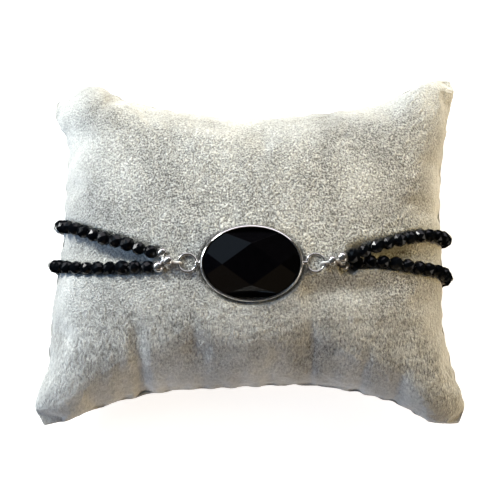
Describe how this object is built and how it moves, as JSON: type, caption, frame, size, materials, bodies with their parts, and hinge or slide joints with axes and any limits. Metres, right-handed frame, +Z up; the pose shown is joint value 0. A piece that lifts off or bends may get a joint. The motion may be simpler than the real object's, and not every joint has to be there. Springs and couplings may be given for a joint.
{
  "type": "connector bracelet on display pillow",
  "caption": "Two-strand stretch bracelet of small black faceted beads with an oval black faceted stone connector, on its grey plush display pillow.",
  "frame": {"origin": "on the table under the middle of the pillow", "axes": "+X along the bracelet, left to right as worn by the pillow; +Y to the pillow's back edge; +Z up"},
  "size_m": [0.0892, 0.0752, 0.0315],
  "materials": {
    "plush": "short grey plush pile",
    "faceted_stone": "polished black facets",
    "black_beads": "polished black facets",
    "silver_setting": "polished silver",
    "silver_beads": "polished silver",
    "elastic_thread": "smooth pale elastic"
  },
  "bodies": {
    "root": {"bezel_with_rings": "silver_setting", "pillow": "plush", "silver_bead_left_back": "silver_beads", "silver_bead_left_common": "silver_beads", "silver_bead_left_front": "silver_beads", "silver_bead_right_back": "silver_beads", "silver_bead_right_common": "silver_beads", "silver_bead_right_front": "silver_beads", "stone": "faceted_stone", "strand_back_1": "black_beads", "strand_back_2": "black_beads", "strand_back_3": "black_beads", "strand_back_4": "black_beads", "strand_back_5": "black_beads", "strand_back_6": "black_beads", "strand_back_7": "black_beads", "strand_back_8": "black_beads", "strand_front_1": "black_beads", "strand_front_2": "black_beads", "strand_front_3": "black_beads", "strand_front_4": "black_beads", "strand_front_5": "black_beads", "strand_front_6": "black_beads", "strand_front_7": "black_beads", "strand_front_8": "black_beads", "thread_left": "elastic_thread", "thread_right": "elastic_thread"}
  },
  "joints": []
}
